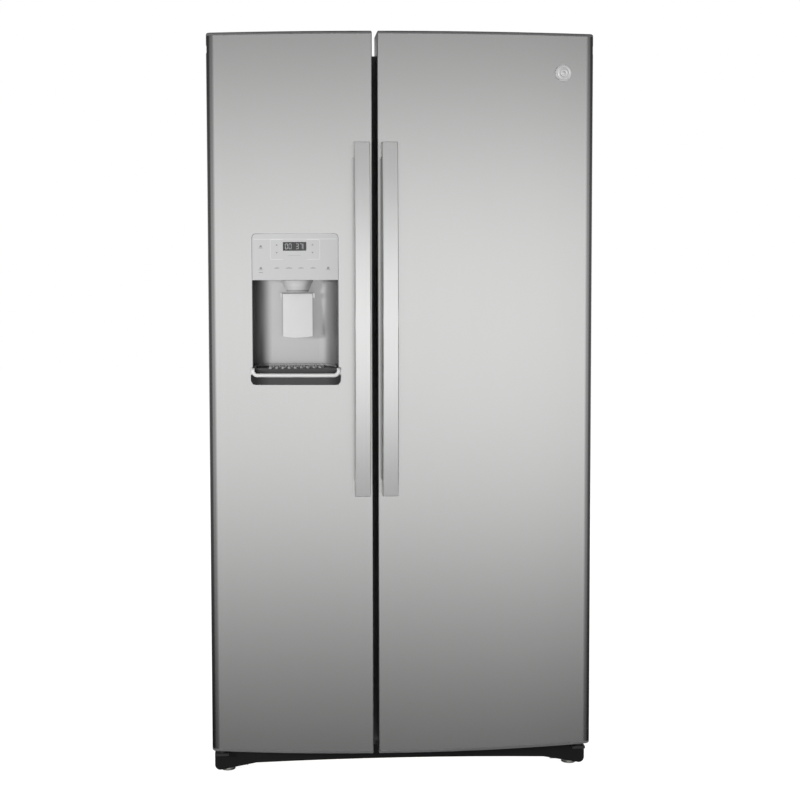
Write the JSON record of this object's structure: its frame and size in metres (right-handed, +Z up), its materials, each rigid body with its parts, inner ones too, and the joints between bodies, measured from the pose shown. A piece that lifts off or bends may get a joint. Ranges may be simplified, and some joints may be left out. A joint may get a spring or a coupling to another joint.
{
  "type": "side by side refrigerator",
  "caption": "Side by side refrigerator with bowed stainless doors, a lit ice and water dispenser, bar handles, an arched kick grille and a fitted interior.",
  "frame": {"origin": "middle of the appliance's footprint at floor level", "axes": "+X to the viewer's right, +Y to the back so that the doors face -Y, +Z up"},
  "size_m": [0.908, 0.883, 1.768],
  "materials": {
    "case_paint": "satin",
    "galvanised": "satin",
    "foam": "matte",
    "white_liner": "satin",
    "black_plastic": "satin",
    "black_steel": "satin",
    "zinc": "satin",
    "white_plastic": "satin",
    "shelf_glass": "gloss",
    "white_wire": "gloss",
    "aluminium": "satin",
    "clear_plastic": "gloss",
    "lens": "matte",
    "stainless": "satin",
    "dark_cap": "satin",
    "gasket": "matte",
    "handle_metal": "satin",
    "dispenser_plastic": "satin",
    "silver_plastic": "satin",
    "paddle_plastic": "satin",
    "badge_metal": "polished",
    "roller": "satin"
  },
  "bodies": {
    "cabinet": {"back_panel": "galvanised", "base_grille": "black_plastic", "bottom_hinges": "black_steel", "cabinet_foam": "foam", "chassis": "galvanised", "compressor": "black_steel", "condenser_coil": "black_steel", "cord_gland": "black_plastic", "evaporator_coil": "aluminium", "evaporator_cover": "white_plastic", "fan_shroud": "black_plastic", "freezer_liner": "white_liner", "freezer_racks": "white_wire", "fresh_food_liner": "white_liner", "fresh_shelf_frames": "white_plastic", "fresh_shelf_glass": "shelf_glass", "hinge_cover_left": "black_plastic", "hinge_cover_right": "black_plastic", "hinge_screws": "zinc", "ice_bucket": "clear_plastic", "ice_maker": "white_plastic", "light_lenses": "lens", "outer_case": "case_paint", "rear_cover": "galvanised", "top_hinges": "black_steel", "water_valve": "black_plastic"},
    "freezer_door": {"freezer_door_skin": "stainless", "freezer_door_core": "foam", "freezer_door_liner": "white_liner", "freezer_door_caps": "dark_cap", "freezer_door_gasket": "gasket", "freezer_door_bins": "clear_plastic", "freezer_handle": "handle_metal", "dispenser_housing": "dispenser_plastic", "control_panel": "silver_plastic", "ice_chute": "black_plastic", "drip_grille": "dispenser_plastic"},
    "fresh_food_door": {"fresh_door_skin": "stainless", "fresh_door_core": "foam", "fresh_door_liner": "white_liner", "fresh_door_caps": "dark_cap", "fresh_door_gasket": "gasket", "fresh_door_bins": "clear_plastic", "fresh_handle": "handle_metal", "badge": "badge_metal"},
    "dispenser_paddle": {"dispenser_paddle": "paddle_plastic"},
    "dairy_cover": {"dairy_cover": "clear_plastic"},
    "crisper_lower": {"crisper_lower": "clear_plastic"},
    "crisper_upper": {"crisper_upper": "clear_plastic"},
    "snack_drawer": {"snack_drawer": "clear_plastic"},
    "freezer_basket": {"freezer_basket": "white_plastic"},
    "evaporator_fan": {"evaporator_fan": "black_plastic"},
    "condenser_fan": {"condenser_fan": "black_plastic"},
    "ice_auger": {"ice_auger": "zinc"},
    "roller_front_left": {"roller_front_left": "roller"},
    "roller_front_right": {"roller_front_right": "roller"},
    "roller_rear_left": {"roller_rear_left": "roller"},
    "roller_rear_right": {"roller_rear_right": "roller"},
    "levelling_leg_left": {"levelling_leg_left": "zinc"},
    "levelling_leg_right": {"levelling_leg_right": "zinc"}
  },
  "joints": [
    {"name": "freezer_door_hinge", "type": "hinge", "parent": "cabinet", "child": "freezer_door", "pos_m": [-0.432, -0.3115, 0.9], "axis": [0, 0, -1], "range_deg": [0, 120]},
    {"name": "fresh_food_door_hinge", "type": "hinge", "parent": "cabinet", "child": "fresh_food_door", "pos_m": [0.432, -0.3115, 0.9], "axis": [0, 0, 1], "range_deg": [0, 120]},
    {"name": "crisper_lower_slide", "type": "slide", "parent": "cabinet", "child": "crisper_lower", "axis": [0, -1, 0], "range_m": [0, 0.23]},
    {"name": "crisper_upper_slide", "type": "slide", "parent": "cabinet", "child": "crisper_upper", "axis": [0, -1, 0], "range_m": [0, 0.23]},
    {"name": "snack_drawer_slide", "type": "slide", "parent": "cabinet", "child": "snack_drawer", "axis": [0, -1, 0], "range_m": [0, 0.18]},
    {"name": "freezer_basket_slide", "type": "slide", "parent": "cabinet", "child": "freezer_basket", "axis": [0, -1, 0], "range_m": [0, 0.23]},
    {"name": "dairy_cover_hinge", "type": "hinge", "parent": "fresh_food_door", "child": "dairy_cover", "pos_m": [0.1865, -0.268, 1.5055], "axis": [1, 0, 0], "range_deg": [0, 80]},
    {"name": "dispenser_paddle_hinge", "type": "hinge", "parent": "freezer_door", "child": "dispenser_paddle", "pos_m": [-0.2445, -0.3285, 1.158], "axis": [1, 0, 0], "range_deg": [0, 11], "stiffness_Nm_per_rad": 0.3, "springref_deg": -11.46},
    {"name": "evaporator_fan_spin", "type": "hinge", "parent": "cabinet", "child": "evaporator_fan", "pos_m": [-0.245, 0.326, 1.12], "axis": [0, 1, 0], "continuous": true},
    {"name": "condenser_fan_spin", "type": "hinge", "parent": "cabinet", "child": "condenser_fan", "pos_m": [-0.036, 0.32, 0.14], "axis": [1, 0, 0], "continuous": true},
    {"name": "ice_auger_spin", "type": "hinge", "parent": "cabinet", "child": "ice_auger", "pos_m": [-0.2445, 0.078, 1.392], "axis": [0, 1, 0], "continuous": true},
    {"name": "roller_front_left_spin", "type": "hinge", "parent": "cabinet", "child": "roller_front_left", "pos_m": [-0.385, -0.24, 0.022], "axis": [1, 0, 0], "continuous": true},
    {"name": "roller_rear_left_spin", "type": "hinge", "parent": "cabinet", "child": "roller_rear_left", "pos_m": [-0.385, 0.38, 0.02], "axis": [1, 0, 0], "continuous": true},
    {"name": "levelling_leg_left_slide", "type": "slide", "parent": "cabinet", "child": "levelling_leg_left", "axis": [0, 0, -1], "range_m": [0, 0.02]},
    {"name": "roller_front_right_spin", "type": "hinge", "parent": "cabinet", "child": "roller_front_right", "pos_m": [0.385, -0.24, 0.022], "axis": [1, 0, 0], "continuous": true},
    {"name": "roller_rear_right_spin", "type": "hinge", "parent": "cabinet", "child": "roller_rear_right", "pos_m": [0.385, 0.38, 0.02], "axis": [1, 0, 0], "continuous": true},
    {"name": "levelling_leg_right_slide", "type": "slide", "parent": "cabinet", "child": "levelling_leg_right", "axis": [0, 0, -1], "range_m": [0, 0.02]}
  ],
  "couplings": [
    {"joint": "crisper_lower_slide", "follows": "fresh_food_door_hinge", "m_per_rad": 0.1098},
    {"joint": "crisper_upper_slide", "follows": "fresh_food_door_hinge", "m_per_rad": 0.1098},
    {"joint": "snack_drawer_slide", "follows": "fresh_food_door_hinge", "m_per_rad": 0.0859},
    {"joint": "freezer_basket_slide", "follows": "freezer_door_hinge", "m_per_rad": 0.1098}
  ]
}
